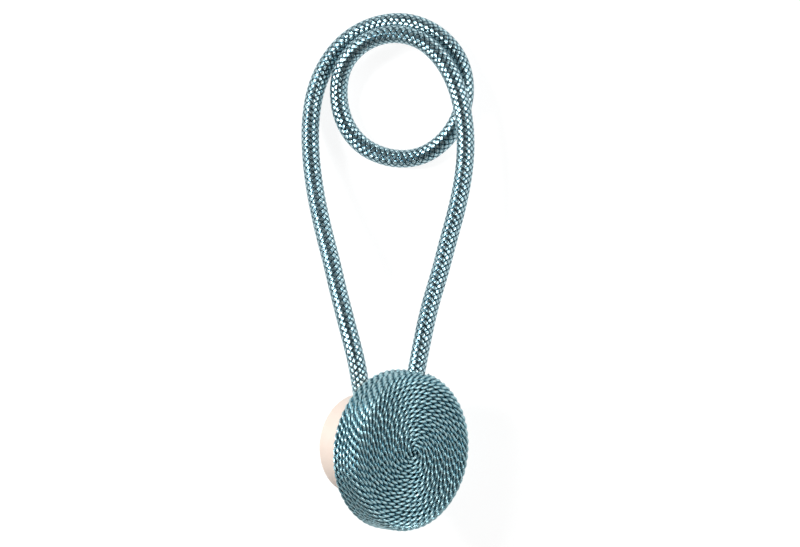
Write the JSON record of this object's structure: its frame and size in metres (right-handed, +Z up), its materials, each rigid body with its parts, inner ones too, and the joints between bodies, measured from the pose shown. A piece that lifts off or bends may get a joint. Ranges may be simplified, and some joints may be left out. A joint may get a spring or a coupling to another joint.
{
  "type": "curtain tieback",
  "caption": "Magnetic curtain tieback: a disc covered in spirally wound cord and a plain rear drum, joined by a braided cord that makes a ring and loops round a gathered curtain.",
  "frame": {"origin": "on the ground, under the middle of the box of the disc and drum, without the cord", "axes": "+Y towards the cord's ring, across the disc; +X is the level direction in which the disc faces, and its axis leans up from +X; +Z up"},
  "size_m": [0.0943, 0.2228, 0.0657],
  "materials": {
    "satin_yarn": "satin twisted and braided yarn, dusty teal",
    "moulded_plastic": "smooth moulded, pale peach",
    "magnet": "nickel-plated"
  },
  "bodies": {
    "root": {"front_winding": "satin_yarn", "front_shell": "moulded_plastic", "front_plate": "moulded_plastic", "front_magnet": "magnet", "rear_drum": "moulded_plastic", "rear_cover": "moulded_plastic", "rear_magnet": "magnet", "braided_cord": "satin_yarn"}
  },
  "joints": []
}
